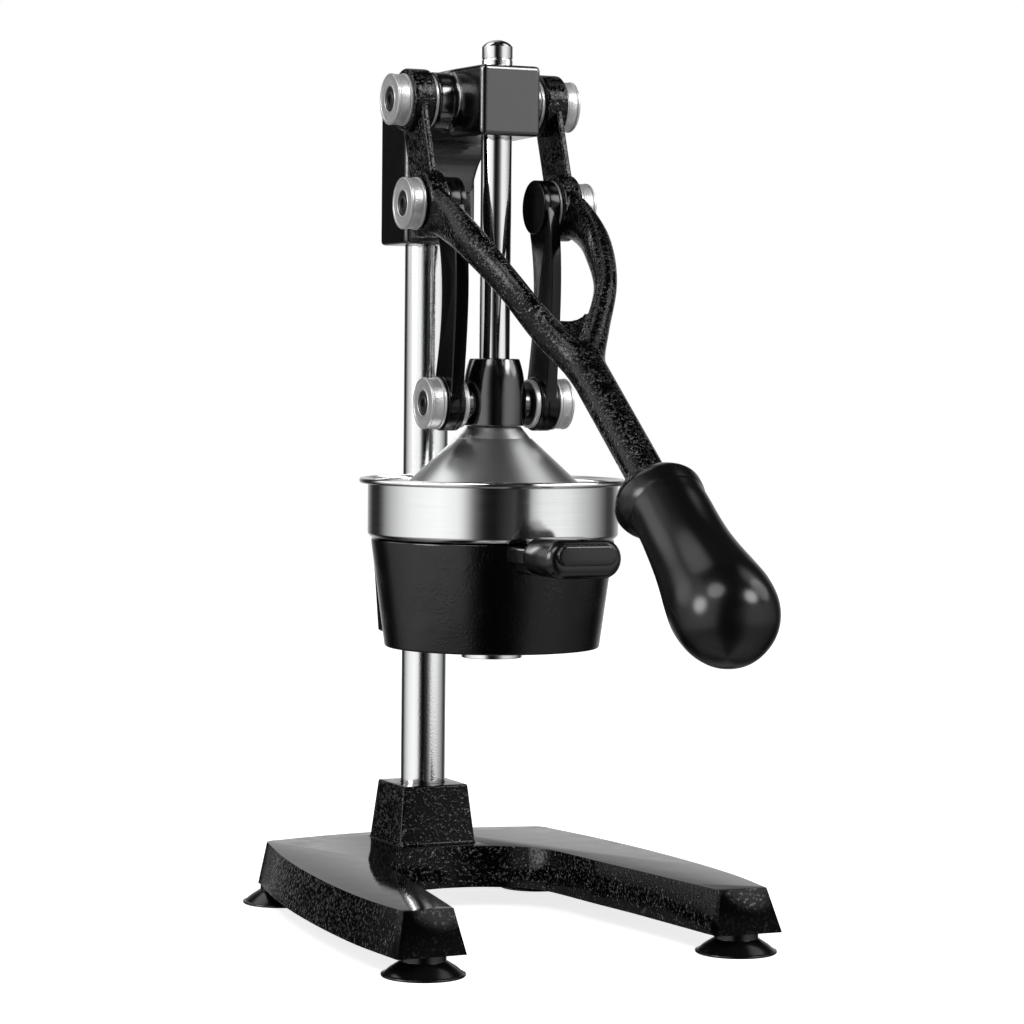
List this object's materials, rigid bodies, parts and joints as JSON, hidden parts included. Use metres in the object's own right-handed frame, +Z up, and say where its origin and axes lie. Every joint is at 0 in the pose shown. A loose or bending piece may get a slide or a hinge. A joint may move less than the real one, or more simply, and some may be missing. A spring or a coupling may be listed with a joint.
{
  "type": "lever citrus juice press",
  "caption": "Bench lever press for citrus juice: horseshoe cast base, column, clamped head, fork lever with links, guided rod and bell over a bowl with a spout.",
  "frame": {"origin": "on the floor under the middle of the press's footprint", "axes": "+Z up, +X to the right seen from the front, the lever's handle points to -Y"},
  "size_m": [0.2156, 0.4162, 0.4628],
  "materials": {
    "cast_paint": "gloss black paint over a rough casting",
    "smooth_paint": "smooth gloss black paint",
    "chrome": "polished",
    "machined": "turned and brushed",
    "stainless": "spun and brushed round its axis",
    "rubber": "moulded, smooth",
    "plastic": "satin"
  },
  "bodies": {
    "stand": {"base_casting": "cast_paint", "suction_foot_front_left": "rubber", "suction_foot_front_right": "rubber", "suction_foot_rear_left": "rubber", "suction_foot_rear_right": "rubber", "column": "chrome", "column_bolt": "machined", "head_casting": "smooth_paint", "head_set_screw_upper": "machined", "head_set_screw_lower": "machined", "upper_ring_left": "rubber", "upper_ring_right": "rubber", "upper_pivot_bolt_left": "machined", "upper_pivot_bolt_right": "machined", "upper_washer_left": "machined", "upper_washer_right": "machined", "holder_casting": "cast_paint", "holder_set_screw": "machined", "bowl": "stainless", "strainer_cone": "stainless", "bowl_tang": "machined", "bowl_grip": "plastic"},
    "lever": {"lever_casting": "cast_paint", "lever_grip": "rubber", "middle_ring_left": "rubber", "middle_ring_right": "rubber", "middle_pivot_bolt_left": "machined", "middle_pivot_bolt_right": "machined", "middle_spacer_left": "machined", "middle_spacer_right": "machined"},
    "plunger": {"plunger_rod": "chrome", "yoke": "smooth_paint", "press_bell": "stainless", "bell_screw": "machined", "lower_ring_left": "rubber", "lower_ring_right": "rubber", "lower_pivot_bolt_left": "machined", "lower_pivot_bolt_right": "machined", "lower_washer_left": "machined", "lower_washer_right": "machined"},
    "links": {"link_left": "smooth_paint", "link_right": "smooth_paint"}
  },
  "joints": [
    {"name": "lever_swing", "type": "hinge", "parent": "stand", "child": "lever", "pos_m": [0, 0.09617, 0.4316], "axis": [-1, 0, 0], "range_deg": [0, 85]},
    {"name": "plunger_slide", "type": "slide", "parent": "stand", "child": "plunger", "axis": [0, 0, 1], "range_m": [0, 0.0761]},
    {"name": "link_swing", "type": "hinge", "parent": "plunger", "child": "links", "pos_m": [0, 0.07526, 0.2742], "axis": [1, 0, 0], "range_deg": [0, 20.8]}
  ],
  "couplings": [
    {"joint": "plunger_slide", "follows": "lever_swing", "m_per_rad": 0.051242},
    {"joint": "link_swing", "follows": "lever_swing", "ratio": 0.24325}
  ]
}
